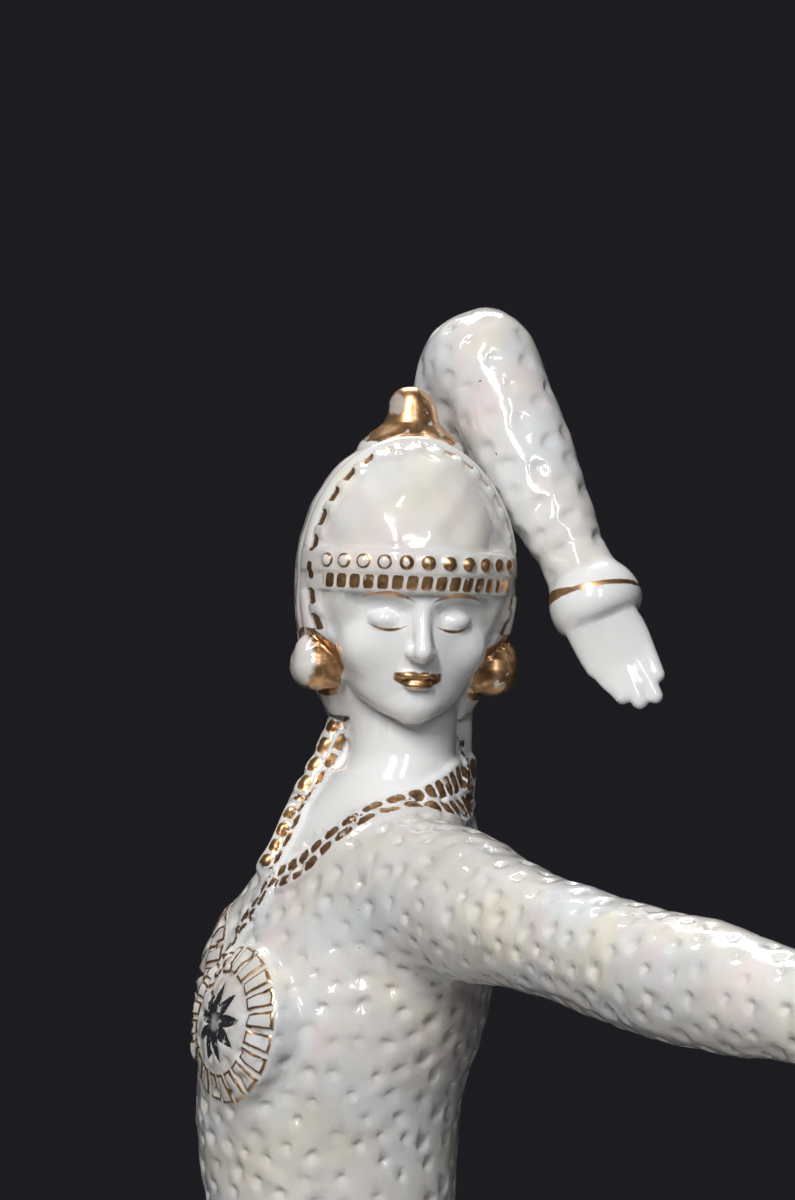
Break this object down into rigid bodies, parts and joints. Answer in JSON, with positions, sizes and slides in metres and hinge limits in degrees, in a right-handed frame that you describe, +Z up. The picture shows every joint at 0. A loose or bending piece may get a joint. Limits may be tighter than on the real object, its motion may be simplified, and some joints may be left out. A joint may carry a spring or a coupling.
{
  "type": "ceramic dancer figurine",
  "caption": "Glazed ceramic dancer in a studded helmet and dimpled gown, right arm raised over the head and left arm held out, on a low stepped octagonal base.",
  "frame": {"origin": "centre of the base's underside", "axes": "+Z up, -Y the side that the face looks to, +X the side that the held-out arm reaches to"},
  "size_m": [0.1807, 0.2272, 0.4758],
  "materials": {
    "glaze": "pearl lustre gloss with painted gold"
  },
  "bodies": {
    "root": {"dancer_figurine": "glaze"}
  },
  "joints": []
}
